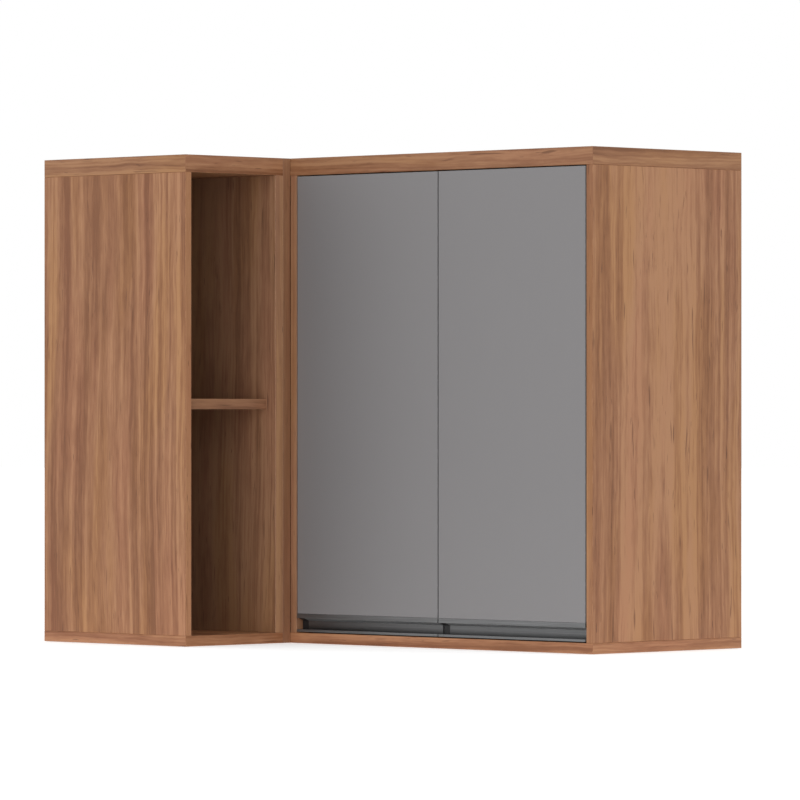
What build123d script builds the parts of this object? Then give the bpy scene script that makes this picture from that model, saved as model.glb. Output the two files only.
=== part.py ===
from build123d import *
from math import hypot
import os

os.makedirs("parts", exist_ok=True)

# Corner wall cabinet, in millimetres. The long leg holds two inset doors and hangs on the back
# wall (+Y). The short leg runs forward (-Y) along the left wall (-X) and ends in an open niche.
# Origin: centre of the bounding box in plan, at the underside. +Z is up.

# ---- Whole cabinet ----
cabinet_height = 700.0
door_side_length = 595.0      # door face, from the inner corner to the right side
main_depth = 310.0            # long leg, from the door face to the wall
niche_projection = 209.0      # short leg, forward of the door face
niche_depth = 299.0           # short leg, from the left wall to the niche's open face

# ---- Boards ----
top_thickness = 25.0
bottom_thickness = 15.0
upright_thickness = 12.0      # side panels, corner stile and niche end panel
blind_thickness = 15.0        # panel that closes the blind corner
inner_side_thickness = 15.0   # niche side that stands against the blind panel
shelf_thickness = 15.0
edge_ease = 0.5               # chamfer on the banded edges
stile_depth = 100.0
main_shelf_setback = 20.0     # main shelf behind the back of the doors
niche_shelf_setback = 20.0    # niche shelf behind the open face
shelf_clearance = 0.5

# ---- Backs and wall rails ----
back_thickness = 3.0
groove_depth = 6.0
groove_clearance = 0.1
rail_thickness = 12.0
rail_height = 80.0
wall_hole_radius = 3.0
main_wall_hole_spacing = 700.0
niche_wall_hole_spacing = 100.0

# ---- Doors and grip profiles ----
door_thickness = 15.0
side_gap = 2.0                # beside and between the doors
end_gap = 1.5                 # above and below the doors
grip_height = 26.0
grip_depth = 13.0
grip_wall = 1.6
upper_lip_height = 6.5
lower_lip_height = 3.5
recess_slope = 3.7            # fall of the recess's ceiling towards its back
grip_cut = 12.0               # length of the cut-back at the profile's left end
tongue_height = 8.0
tongue_clearance = 0.1
lip_round = 0.4

# ---- Hinges ----
hinge_end_distance = 100.0    # hinge centre to the end of the door
cup_radius = 17.5
cup_depth = 12.5
cup_rim = 4.5                 # wood left between the cup bore and the door's edge
cup_wall = 0.8
cup_clearance = 0.05
pocket_width = 15.0
flange_thickness = 1.0
flange_overhang = 1.0
ear_radius = 5.0
ear_spacing = 48.0
ear_offset = 6.0
pin_radius = 1.2
pin_length = 23.0
pin_inset = 12.0              # pivot to the door's hinge edge
pin_depth = 5.7               # pivot to the door's front face
pin_clearance = 0.05
knuckle_wall = 1.0
arm_width = 13.0
arm_thickness = 1.6
arm_swing_clearance = 1.5
channel_wall = 1.0
channel_clearance = 0.3
channel_length = 50.0
neck_rise = 1.5                # the neck's slope from the pivot to its bend
neck_bend = 4.0
plate_thickness = 1.5
plate_width = 17.0
plate_length = 42.0
plate_line = 37.0             # plate's wings behind the back of the door
wing_span = 44.0               # across the two wings of the plate
wing_width = 12.0
plate_corner = 3.0
rail_chamfer = 0.8
slide_rail_width = 13.8
slide_rail_height = 6.0
slide_rail_length = 38.0

# ---- Shelf pins and dowels ----
seat_clearance = 0.05         # round a pin or dowel in its hole
shelf_pin_radius = 2.5
shelf_pin_length = 15.0
shelf_pin_hole_depth = 8.0
shelf_pin_edge_distance = 40.0
dowel_radius = 4.0
dowel_length = 28.0
dowel_seat = 9.0              # dowel in the upright, the rest in the shelf
dowel_edge_distance = 60.0

# ---- Reference planes and places ----
total_length = niche_depth + door_side_length
total_depth = niche_projection + main_depth
x_left = -total_length / 2
x_right = total_length / 2
x_corner = x_left + niche_depth
y_front = -total_depth / 2
y_back = total_depth / 2
y_face = y_front + niche_projection
y_blind = y_face - blind_thickness
y_inner = y_blind - inner_side_thickness
y_niche = y_front + upright_thickness
z_floor = bottom_thickness
z_ceiling = cabinet_height - top_thickness
z_middle = (z_floor + z_ceiling) / 2
x_jamb = x_corner + upright_thickness
x_main_left = x_left + upright_thickness
x_main_right = x_right - upright_thickness
y_main_back = y_back - rail_thickness - back_thickness
x_niche_back = x_left + rail_thickness + back_thickness
stile_back = y_face + stile_depth

# ---- Doors ----
door_width = (x_main_right - x_jamb - 3 * side_gap) / 2
left_door_x = x_jamb + side_gap
right_door_x = left_door_x + door_width + side_gap
right_door_edge = right_door_x + door_width
door_bottom = z_floor + end_gap
door_top = z_ceiling - end_gap
door_height = door_top - door_bottom
tongue_front = (grip_depth - grip_wall) / 2
hinge_heights = [hinge_end_distance, door_height - hinge_end_distance]

# ---- Hinge, in its own frame: x from the door's hinge edge, y from its front face ----
cup_x = cup_rim + cup_radius
swing_radius = hypot(pin_inset, door_thickness + flange_thickness - pin_depth)
neck_reach = swing_radius + arm_thickness / 2 + arm_swing_clearance
neck_x = pin_inset + neck_reach
neck_y = pin_depth + neck_reach
slide_rail_top = plate_thickness + slide_rail_height - side_gap
web_x = slide_rail_top + channel_clearance + arm_thickness / 2
plate_y = door_thickness + plate_line
channel_end = neck_y + channel_length
rail_start = plate_y - slide_rail_length / 3
rail_end = rail_start + slide_rail_length
channel_foot = plate_thickness - side_gap + channel_clearance
channel_half = slide_rail_width / 2 + channel_clearance + channel_wall

# ---- Shelves and wall holes ----
shelf_underside = z_middle - shelf_thickness / 2
shelf_top = z_middle + shelf_thickness / 2
main_shelf_front = y_face + door_thickness + main_shelf_setback
niche_shelf_front = x_corner - niche_shelf_setback
wall_hole_z = z_ceiling - rail_height / 2
main_middle_x = (x_main_left + x_main_right) / 2
niche_middle_y = (y_niche + y_inner) / 2
main_wall_holes = [main_middle_x - main_wall_hole_spacing / 2,
                   main_middle_x + main_wall_hole_spacing / 2]
niche_wall_holes = [niche_middle_y - niche_wall_hole_spacing / 2,
                    niche_middle_y + niche_wall_hole_spacing / 2]


def block(x0, x1, y0, y1, z0, z1):
    """Plain block between two corners."""
    size = Box(x1 - x0, y1 - y0, z1 - z0, align=(Align.MIN, Align.MIN, Align.MIN))
    return Pos(x0, y0, z0) * size


def board(x0, x1, y0, y1, z0, z1):
    """Board between two corners, with its banded edges eased."""
    solid = block(x0, x1, y0, y1, z0, z1)
    return chamfer(solid.edges(), edge_ease)


def facing(x, y, z, direction):
    """Location at a point, with its z axis along a direction."""
    return Plane(origin=(x, y, z), z_dir=direction).location


def rod(radius, length, place):
    """Rod that starts at a location and runs along its z axis."""
    return place * Cylinder(radius, length, align=(Align.CENTER, Align.CENTER, Align.MIN))


def save(name, solids):
    """Write one node: a single solid, or a group of separate ones."""
    node = solids[0] if len(solids) == 1 else Compound(children=solids)
    export_step(node, f"parts/{name}.step")


# ---- Long leg ----

def main_back_space():
    """Room for the long leg's back panel, with its edges in the grooves."""
    play = groove_clearance
    return block(x_main_left - groove_depth, x_main_right + groove_depth, y_main_back - play,
                 y_main_back + back_thickness + play,
                 z_floor - groove_depth, z_ceiling + groove_depth)


def main_top():
    solid = board(x_left, x_right, y_face, y_back, z_ceiling, cabinet_height)
    return solid - main_back_space()


def main_bottom():
    solid = board(x_left, x_right, y_face, y_back, 0, z_floor)
    return solid - main_back_space()


def shelf_pins(play=0):
    """Steel pins under the main shelf, in the sides and in both faces of the stile."""
    z = shelf_underside - shelf_pin_radius
    front = main_shelf_front + shelf_pin_edge_distance / 2
    back = y_main_back - shelf_pin_edge_distance
    seats = [(x_main_left, 1, front), (x_main_left, 1, back),
             (x_main_right, -1, front), (x_main_right, -1, back),
             (x_corner, -1, front), (x_jamb, 1, stile_back - shelf_pin_edge_distance / 2)]
    pins = []
    for x, side, y in seats:
        place = facing(x - side * (shelf_pin_hole_depth + play), y, z, (side, 0, 0))
        pins.append(rod(shelf_pin_radius + play, shelf_pin_length + play, place))
    return pins


def shelf_pin_holes():
    """Holes of the shelf pins, a little wider and deeper than the pins."""
    return Part() + shelf_pins(seat_clearance)


def main_side(x0):
    """Side panel of the long leg."""
    solid = board(x0, x0 + upright_thickness, y_face, y_back, z_floor, z_ceiling)
    solid -= main_back_space()
    return solid - shelf_pin_holes()


def left_side():
    return main_side(x_left)


def right_side():
    return main_side(x_main_right)


def corner_stile():
    """Upright between the blind corner and the left door, which hangs on it."""
    solid = board(x_corner, x_jamb, y_face, stile_back, z_floor, z_ceiling)
    return solid - shelf_pin_holes()


def main_back_panel():
    reach = groove_depth - groove_clearance
    solid = block(x_main_left - reach, x_main_right + reach, y_main_back,
                  y_main_back + back_thickness, z_floor - reach, z_ceiling + reach)
    return solid - main_wall_screw_holes()


def main_wall_screw_holes():
    """Clearance holes for the screws into the back wall."""
    length = back_thickness + rail_thickness
    holes = [rod(wall_hole_radius, length, facing(x, y_main_back, wall_hole_z, (0, 1, 0)))
             for x in main_wall_holes]
    return holes[0] + holes[1]


def main_rail(z0):
    """Board behind the back panel, under the top board or over the bottom board."""
    return board(x_main_left, x_main_right, y_back - rail_thickness, y_back, z0, z0 + rail_height)


def main_upper_rail():
    return main_rail(z_ceiling - rail_height) - main_wall_screw_holes()


def main_lower_rail():
    return main_rail(z_floor)


def main_shelf():
    """Loose shelf of the long leg, notched round the corner stile."""
    play = shelf_clearance
    solid = board(x_main_left + play, x_main_right - play, main_shelf_front,
                  y_main_back - play, shelf_underside, shelf_top)
    return solid - block(x_corner - play, x_jamb + play, main_shelf_front - play,
                         stile_back + play, shelf_underside, shelf_top)


# ---- Short leg ----

def blind_panel():
    """Full-height panel across the blind corner; its end shows between niche and doors."""
    return board(x_left, x_corner, y_blind, y_face, 0, cabinet_height)


def niche_back_space():
    """Room for the niche's back panel, with its edges in the grooves."""
    play = groove_clearance
    x0 = x_left + rail_thickness
    return block(x0 - play, x_niche_back + play, y_niche - groove_depth, y_inner + groove_depth,
                 z_floor - groove_depth, z_ceiling + groove_depth)


def niche_top():
    solid = board(x_left, x_corner, y_front, y_blind, z_ceiling, cabinet_height)
    return solid - niche_back_space()


def niche_bottom():
    solid = board(x_left, x_corner, y_front, y_blind, 0, z_floor)
    return solid - niche_back_space()


def niche_upright(y0, y1):
    """Upright board of the niche, with its shelf's dowel holes."""
    solid = board(x_left, x_corner, y0, y1, z_floor, z_ceiling)
    solid -= niche_back_space()
    return solid - niche_dowel_holes()


def niche_end_panel():
    return niche_upright(y_front, y_niche)


def niche_inner_side():
    return niche_upright(y_inner, y_blind)


def niche_back_panel():
    reach = groove_depth - groove_clearance
    solid = block(x_left + rail_thickness, x_niche_back, y_niche - reach, y_inner + reach,
                  z_floor - reach, z_ceiling + reach)
    return solid - niche_wall_screw_holes()


def niche_wall_screw_holes():
    """Clearance holes for the screws into the left wall."""
    length = back_thickness + rail_thickness
    holes = [rod(wall_hole_radius, length, facing(x_niche_back, y, wall_hole_z, (-1, 0, 0)))
             for y in niche_wall_holes]
    return holes[0] + holes[1]


def niche_rail(z0):
    """Board behind the niche's back panel."""
    return board(x_left, x_left + rail_thickness, y_niche, y_inner, z0, z0 + rail_height)


def niche_upper_rail():
    return niche_rail(z_ceiling - rail_height) - niche_wall_screw_holes()


def niche_lower_rail():
    return niche_rail(z_floor)


def niche_dowels(play=0):
    """Dowels at both ends of the niche shelf, widened and lengthened by a play for holes."""
    pins = []
    for x in (x_niche_back + dowel_edge_distance, niche_shelf_front - dowel_edge_distance):
        for y, side in ((y_niche, 1), (y_inner, -1)):
            start = y - side * (dowel_seat + play)
            pins.append(rod(dowel_radius + play, dowel_length + 2 * play,
                            facing(x, start, z_middle, (0, side, 0))))
    return pins


def niche_dowel_holes():
    return Part() + niche_dowels(seat_clearance)


def niche_shelf():
    solid = board(x_niche_back, niche_shelf_front, y_niche, y_inner, shelf_underside, shelf_top)
    return solid - niche_dowel_holes()


# ---- Doors, in a frame with x from the hinge edge, y from the front and z from the bottom ----

def place_left(solid):
    """Solid of a left-hung door, moved to the corner stile."""
    return Pos(left_door_x, y_face, door_bottom) * solid


def place_right(solid):
    """The same solid mirrored and moved to the right side panel."""
    return Pos(right_door_edge, y_face, door_bottom) * mirror(solid, about=Plane.YZ)


def at_hinges(solid):
    """One copy of a solid at each hinge of a door, as one group."""
    lower, upper = [Pos(0, 0, z) * solid for z in hinge_heights]
    return lower + upper


def door_panel():
    """Door board, with the grip's groove in its lower edge and the cups' bores in its back."""
    solid = board(0, door_width, 0, door_thickness, grip_height, door_height)
    play = tongue_clearance
    solid -= block(0, door_width, tongue_front - play, tongue_front + grip_wall + play,
                   grip_height, grip_height + tongue_height + play)
    bore = rod(cup_radius, cup_depth, facing(cup_x, door_thickness - cup_depth, 0, (0, 1, 0)))
    return solid - at_hinges(bore)


def grip_section():
    """Section of the grip: recess between two lips, hollow chamber above it, and tongue."""
    inner = grip_depth - grip_wall
    tongue_top = grip_height + tongue_height
    tongue_back = tongue_front + grip_wall
    chamber_top = grip_height - grip_wall
    lip_end = grip_height - upper_lip_height
    back_end = lip_end - recess_slope
    outline = Polyline(
        (0, 0), (grip_depth, 0), (grip_depth, grip_height), (tongue_back, grip_height),
        (tongue_back, tongue_top), (tongue_front, tongue_top), (tongue_front, grip_height),
        (0, grip_height), (0, lip_end), (grip_wall, lip_end), (inner, back_end),
        (inner, grip_wall), (grip_wall, grip_wall), (grip_wall, lower_lip_height),
        (0, lower_lip_height), close=True)
    chamber = Polyline(
        (grip_wall, lip_end + grip_wall), (inner, back_end + grip_wall), (inner, chamber_top),
        (grip_wall, chamber_top), close=True)
    section = make_face(outline)
    lips = section.vertices().filter_by_position(Axis.X, -grip_wall / 2, grip_wall / 2)
    return fillet(lips, lip_round) - make_face(chamber)


def grip_profile(cut_x):
    """Extruded grip profile, its walls cut back behind the lips over a short length."""
    solid = extrude(Plane.YZ * grip_section(), door_width)
    return solid - block(cut_x, cut_x + grip_cut, grip_wall, 2 * grip_depth,
                         grip_wall, grip_height - grip_wall)


# ---- Hinge, in the door's frame with z from the hinge's middle ----

def hinge_cup():
    """Die-cast cup: round body with two cheeks beside a pocket, and a flange with two ears."""
    floor = door_thickness - cup_depth + cup_clearance
    back = door_thickness + flange_thickness
    body = rod(cup_radius - cup_clearance, door_thickness - floor,
               facing(cup_x, floor, 0, (0, 1, 0)))
    collar = Pos(cup_x, 0) * Circle(cup_radius + flange_overhang)
    ears = [Pos(cup_x + ear_offset, z) * Circle(ear_radius)
            for z in (-ear_spacing / 2, ear_spacing / 2)]
    flange_sketch = make_hull([disc.edge() for disc in (collar, *ears)])
    flange = Pos(0, back, 0) * extrude(Plane.XZ * flange_sketch, flange_thickness)
    room = rod(cup_radius - cup_wall, cup_depth + flange_thickness,
               facing(cup_x, floor + cup_wall, 0, (0, 1, 0)))
    slot = block(0, 2 * cup_x, 0, 2 * door_thickness, -pocket_width / 2, pocket_width / 2)
    solid = body + flange - (room & slot)
    return solid - pivot_rod(pin_radius + pin_clearance / 2, pin_length + pin_clearance)


def pivot_rod(radius, length):
    """Rod on the pivot's axis, centred on the hinge."""
    return Pos(pin_inset, pin_depth, 0) * Cylinder(radius, length)


def hinge_pin():
    return pivot_rod(pin_radius, pin_length)


def hinge_arm():
    """Stamped arm: knuckle, neck that reaches round the door's edge, and channel on the plate."""
    route = FilletPolyline(
        (pin_inset, pin_depth), (neck_x, pin_depth + neck_rise), (neck_x, neck_y),
        (web_x, neck_y), (web_x, channel_end), radius=neck_bend)
    neck = extrude(trace(route, arm_thickness), arm_width / 2, both=True)
    knuckle = pivot_rod(pin_radius + pin_clearance + knuckle_wall, arm_width)
    web = block(web_x - arm_thickness / 2, web_x + arm_thickness / 2, neck_y + neck_bend,
                channel_end, -channel_half, channel_half)
    wall = block(channel_foot, web_x, neck_y + neck_bend, channel_end,
                 channel_half - channel_wall, channel_half)
    solid = neck + knuckle + web + wall + mirror(wall, about=Plane.XY)
    return solid - pivot_rod(pin_radius + pin_clearance, arm_width)


def hinge_plate():
    """Cross-shaped mounting plate with the rail that the arm slides on."""
    foot = -side_gap
    pad = Rectangle(plate_length, plate_width)
    pad = Pos(rail_start + slide_rail_length / 2, 0) * chamfer(pad.vertices(), plate_corner)
    wings = Rectangle(wing_width, wing_span)
    wings = Pos(plate_y, 0) * chamfer(wings.vertices(), plate_corner)
    base = Pos(foot, 0, 0) * extrude(Plane.YZ * (pad + wings), plate_thickness)
    rail = block(foot + plate_thickness, slide_rail_top, rail_start, rail_end,
                 -slide_rail_width / 2, slide_rail_width / 2)
    rail = chamfer(rail.edges().filter_by(Axis.Y).group_by(Axis.X)[-1], rail_chamfer)
    return base + rail


# ---- All nodes ----
single_pieces = [
    main_top, main_bottom, left_side, right_side, corner_stile, main_back_panel,
    main_upper_rail, main_lower_rail, main_shelf, blind_panel, niche_top, niche_bottom,
    niche_end_panel, niche_inner_side, niche_back_panel, niche_upper_rail, niche_lower_rail,
    niche_shelf]
for piece in single_pieces:
    save(piece.__name__, piece().solids())

save("shelf_pins", shelf_pins())
save("niche_shelf_dowels", niche_dowels())

hinge_pieces = [
    ("hinge_cups", hinge_cup()), ("hinge_pins", hinge_pin()), ("hinge_arms", hinge_arm()),
    ("hinge_plates", hinge_plate())]
door_pieces = [("door", door_panel())]
door_pieces += [(name, at_hinges(solid)) for name, solid in hinge_pieces]
for name, solid in door_pieces:
    save(f"left_{name}", place_left(solid).solids())
    save(f"right_{name}", place_right(solid).solids())
save("left_grip", place_left(grip_profile(0)).solids())
save("right_grip", place_right(grip_profile(door_width - grip_cut)).solids())
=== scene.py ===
"""Corner wall cabinet: finishes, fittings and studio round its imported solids."""

import math

import bmesh
import bpy
from bpy.props import FloatProperty, FloatVectorProperty, IntProperty, PointerProperty
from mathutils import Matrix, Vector


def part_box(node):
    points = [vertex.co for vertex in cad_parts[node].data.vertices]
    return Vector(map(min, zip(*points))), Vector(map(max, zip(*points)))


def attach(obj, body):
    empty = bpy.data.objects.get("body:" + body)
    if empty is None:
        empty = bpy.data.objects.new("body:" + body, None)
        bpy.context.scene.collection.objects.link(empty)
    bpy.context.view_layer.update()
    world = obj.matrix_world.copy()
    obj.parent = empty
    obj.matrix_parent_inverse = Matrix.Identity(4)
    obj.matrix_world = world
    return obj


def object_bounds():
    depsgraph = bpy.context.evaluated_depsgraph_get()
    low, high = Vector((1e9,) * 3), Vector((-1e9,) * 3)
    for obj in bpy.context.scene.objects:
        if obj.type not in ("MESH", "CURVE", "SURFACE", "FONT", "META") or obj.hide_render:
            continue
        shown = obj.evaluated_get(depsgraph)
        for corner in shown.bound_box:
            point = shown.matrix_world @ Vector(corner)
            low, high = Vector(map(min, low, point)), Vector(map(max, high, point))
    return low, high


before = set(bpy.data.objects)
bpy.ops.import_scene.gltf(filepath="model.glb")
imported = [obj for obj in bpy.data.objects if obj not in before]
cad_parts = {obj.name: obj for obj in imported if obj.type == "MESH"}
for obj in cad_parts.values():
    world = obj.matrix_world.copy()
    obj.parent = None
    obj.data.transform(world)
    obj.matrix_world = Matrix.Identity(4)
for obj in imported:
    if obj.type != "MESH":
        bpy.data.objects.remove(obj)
cad_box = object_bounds()

bl_info = {
    "name": "Corner Wall Cabinet",
    "version": (1, 0, 0),
    "blender": (4, 5, 0),
    "location": "View3D > Sidebar > Cabinet",
    "description": "Dresses the solids of a corner wall cabinet with its finishes and fittings",
    "category": "Object",
}

# Boards in the order of their cuts, and those that stand open in the niche
UPRIGHT_BOARDS = ["left_side", "right_side", "corner_stile", "blind_panel",
                  "niche_end_panel", "niche_inner_side"]
LEVEL_BOARDS = ["main_top", "main_bottom", "niche_top", "niche_bottom", "main_shelf",
                "niche_shelf", "main_upper_rail", "main_lower_rail",
                "niche_upper_rail", "niche_lower_rail"]
# Boards in the niche, which take its painted shade
NICHE_BOARDS = ["niche_inner_side", "niche_shelf", "niche_back_panel"]
SIDES = ("left", "right")

# Painted shade and light: these boards are set darker or lighter by how they are lit
# Lightness of the boards that differ from the others, where 1 is the usual one
PAINTED_LIGHT_AND_SHADE = {"right_side": 0.945, "blind_panel": 0.74, "niche_top": 0.90, "niche_bottom": 1.04,
         "main_top": 0.86, "main_bottom": 1.06, "main_back_panel": 0.75}
# Place in the grain pattern of the two boards that show most; the others are cut in turn
CUTS = {"right_side": 49.0, "niche_end_panel": 66.0}
FIRST_UPRIGHT_CUT, FIRST_LEVEL_CUT = 1.0, 11.0
MAIN_BACK_CUT, NICHE_BACK_CUT = 31.0, 33.0
# Share of grey cast on the boards in and beside the niche
GREY_CASTS = {"niche_inner_side": 0.18, "niche_shelf": 0.15, "niche_back_panel": 0.18,
        "corner_stile": 0.14, "blind_panel": 0.08}

# How the grain bends: width and run of the bends, place in the noise, and reach, in metres
BENDS = ((0.30, 0.75, 0.0, 0.0320), (0.030, 0.10, 3.0, 0.0060), (0.013, 0.030, 4.0, 0.0020))
# How far the grain pattern moves from one cut to the next: in metres along the board, and in
# noise lengths into the wood, of which a metre holds DEPTH_SCALE
CUT_STEP_ALONG, CUT_STEP_DEEP = 1.170, 3.0
DEPTH_SCALE = 35.0
# How far the heart strays from a board's middle, and how its place turns from cut to cut
HEART_STRAY, HEART_TURN = 0.02, 5.0
# On the narrow faces of a board: how far they lie from the heart, and how calm the grain is
NARROW_FACE_SHIFT, NARROW_FACE_CALM = 0.25, 0.50
# Lightness of the middle wood, where dark wood is 0 and light wood 1
MIDDLE_TONE = 0.5
# Places of screws on a hinge, in metres from its cup's centre or from the box of its cups or
# plates; those that are named Y are places in the frame
CUP_REACH = 0.029
CUP_SCREW_INSET, CUP_SCREW_STEP = 0.0125, 0.024
PLATE_SCREW_INSET, PLATE_SCREW_Y, PLATE_SCREW_STEP = 0.0015, 0.0015, 0.016
ARM_SCREW_LIFT, ARM_SCREW_YS = 0.0019, (0.0120, -0.0080)
# The way that a door's hinge plates look, away from the board that they stand on
FROM_SIDE_PANEL = {"left": (1.0, 0.0, 0.0), "right": (-1.0, 0.0, 0.0)}
# A screw head: share of its height that is straight, then the rise and the width of each step,
# and the recess's length in radii
HEAD_WALL, HEAD_STEPS = 0.5, ((0.26, 0.90), (0.16, 0.82), (0.08, 0.68))
RECESS_LENGTH = 1.15
# Lamps: place, target, power at a key strength of 1, and width and height
LAMPS = {"key": ((2.75, -2.75, 1.35), (0.1, -0.1, 0.35), 54.0, (2.2, 2.0)),
         "fill": ((2.2, -3.0, 0.16), (0.1, -0.1, 0.16), 50.0, (2.4, 0.28))}
# Height of the studio's floor, just below the cabinet
FLOOR_HEIGHT = -0.0006
# Play of a plug in its profile, and of the recess's painted shade past the faces round it
PLAY = 0.0001
# Least part of a flat face's normal along its axis
FLAT_NORMAL = 0.9
# Pitch of the screen's mark on the rear of the backs, in radians a metre
SCREEN_PITCH = 4200.0
WHITE = (1.0, 1.0, 1.0, 1.0)
# Sockets of a mix node that mixes numbers or colours
MIX_FACTOR, MIX_NUMBERS, MIX_COLOURS, MIXED_COLOUR = 0, (2, 3), (6, 7), 2


# ---- Sizes and colours ----

def colour(name, description, default):
    return FloatVectorProperty(name=name, description=description, default=default,
                               size=3, subtype="COLOR", min=0.0, max=1.0)


def number(name, description, default, **settings):
    return FloatProperty(name=name, description=description, default=default, min=0.0, **settings)


def length(name, description, default):
    return number(name, description, default, unit="LENGTH", subtype="DISTANCE")


class CabinetFinishes(bpy.types.PropertyGroup):
    """Colours and pattern sizes of the boards, doors and metals."""
    wood_light: colour("Light wood", "Light streaks of the wood grain", (0.470, 0.234, 0.115))
    wood_middle: colour("Middle wood", "Ground colour of the wood grain", (0.354, 0.158, 0.073))
    wood_dark: colour("Dark wood", "Dark streaks of the wood grain", (0.236, 0.092, 0.037))
    wood_core: colour("Spindles", "Dark cores of the grain's spindles", (0.150, 0.054, 0.020))
    wood_fleck: colour("Flecks", "Short dark pores in the wood grain", (0.085, 0.031, 0.015))
    golden_cast: colour("Golden cast", "What golden zones do to the colour", (1.0, 0.99, 0.86))
    rosy_cast: colour("Rosy cast", "What rosy zones do to the colour", (0.99, 0.945, 0.97))
    grey_cast: colour("Grey Cast", "Grey cast on the boards in and beside the niche", (0.200, 0.185, 0.165))
    # Painted shade in the niche: inner boards lighter at the front and darker deeper in
    painted_shade_front: number("Inside tone", "Shade of inner boards at the front", 1.04, max=1.5)
    painted_shade_deep: number("Deep tone", "Shade of inner boards deep in the niche", 0.69, max=1.0)
    painted_shade_depth: length("Fade depth", "Depth at which daylight no longer pales the wood", 0.12)
    streak_width: length("Streak width", "Width of a usual grain streak", 0.013)
    heart_depth: length("Heart depth", "Depth of the trunk's heart below a board's face", 0.046)
    heart_lean: number("Heart lean", "How uneven the rings are on its two sides", 0.22, max=0.9)
    heart_sway: length("Heart sway", "How much its depth changes along a board", 0.016)
    door_grey: colour("Door grey", "Colour of the door boards", (0.238, 0.230, 0.234))
    grip_grey: colour("Grip grey", "Colour of the anodised profiles", (0.186, 0.189, 0.192))
    nickel: colour("Nickel", "Colour of the plated hinge parts", (0.62, 0.60, 0.57))
    zinc: colour("Zinc", "Colour of the plated screws", (0.60, 0.61, 0.62))
    fibre: colour("Hardboard", "Colour of the bare rear of the backs", (0.215, 0.118, 0.060))
    beech: colour("Beech", "Colour of the dowels", (0.60, 0.42, 0.25))


class CabinetFittings(bpy.types.PropertyGroup):
    """Sizes of the hinges' screws."""
    head_radius: length("Head radius", "Radius of a screw head", 0.0032)
    head_height: length("Head height", "Height of a screw head", 0.0018)
    recess_width: length("Recess width", "Width of the arms of the cross recess", 0.0009)
    recess_depth: length("Recess depth", "Depth of the cross recess", 0.0011)
    head_sides: IntProperty(name="Head sides", description="Sides round a screw head",
                            default=28, min=8, max=64)


class CabinetPlugs(bpy.types.PropertyGroup):
    """Sizes of the grip profiles and of their end plugs, which follow their section, and the
    painted shade and light in the grip's recess.
    """
    grip_depth: length("Grip depth", "Depth of the grip profile", 0.0130)
    grip_height: length("Grip height", "Height of the grip profile", 0.0260)
    grip_wall: length("Grip wall", "Wall of the grip profile", 0.0016)
    recess_top: length("Recess top", "Height of the upper lip's lower end", 0.0194)
    recess_fall: length("Recess fall", "Fall of the recess's ceiling towards its back", 0.0037)
    # Painted shade and light in the recess: darker near its floor, brighter under its ceiling
    shade_start: length("Shade start", "Height where the recess starts to get brighter", 0.0030)
    shade_end: length("Shade end", "Height where it stops getting brighter", 0.0125)
    floor_painted_shade: number("Floor tone", "Tone of the recess near its floor", 0.39, max=2.0)
    wall_painted_shade: number("Wall tone", "Tone of the recess's back wall higher up", 0.85, max=2.0)
    ceiling_painted_light: number("Ceiling tone", "Tone of the recess's ceiling", 1.95, max=2.5)
    plug_length: length("Plug length", "Length of a plug along the profile", 0.0118)
    plug_wall: length("Plug wall", "Wall of a plug under the recess", 0.0007)
    plug_round: length("Plug round", "Rounding of a plug's edges", 0.00025)
    plug_colour: colour("Plug colour", "Colour of the moulded plugs", (0.009, 0.009, 0.010))


class CabinetStage(bpy.types.PropertyGroup):
    """Camera, floor and light."""
    camera_place: FloatVectorProperty(name="Camera place", description="Where the camera stands",
                                      default=(6.120, -6.1805, 0.3372), size=3,
                                      subtype="TRANSLATION", unit="LENGTH")
    camera_turn: FloatProperty(name="Camera turn", description="Turn of the camera about Z",
                               default=math.radians(44.603), subtype="ANGLE", unit="ROTATION")
    lens: number("Lens", "Focal length in millimetres", 272.8, unit="CAMERA")
    sensor: number("Sensor", "Width of the camera's sensor in millimetres", 36.0, unit="CAMERA")
    lift: number("Lift", "Upward shift of the picture", 0.0118, max=1.0)
    floor_size: length("Floor size", "Side of the square floor", 40.0)
    floor_glow: number("Floor glow", "Light that makes the floor look white", 0.45)
    floor_white: number("Floor white", "Share of light that the floor reflects", 0.90, max=1.0)
    sky_strength: number("Sky", "Strength of the even light", 0.85)
    # Painted light: the floor glows beside the cabinet and lights its lower part
    painted_bounce_strength: number("Bounce", "Light that the floor throws up beside the cabinet", 0.37)
    painted_bounce_reach: length("Bounce reach", "How far from the cabinet the floor does so", 0.35)
    key_strength: number("Key", "Strength of the two soft lamps", 0.18)


# ---- Node trees ----

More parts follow.
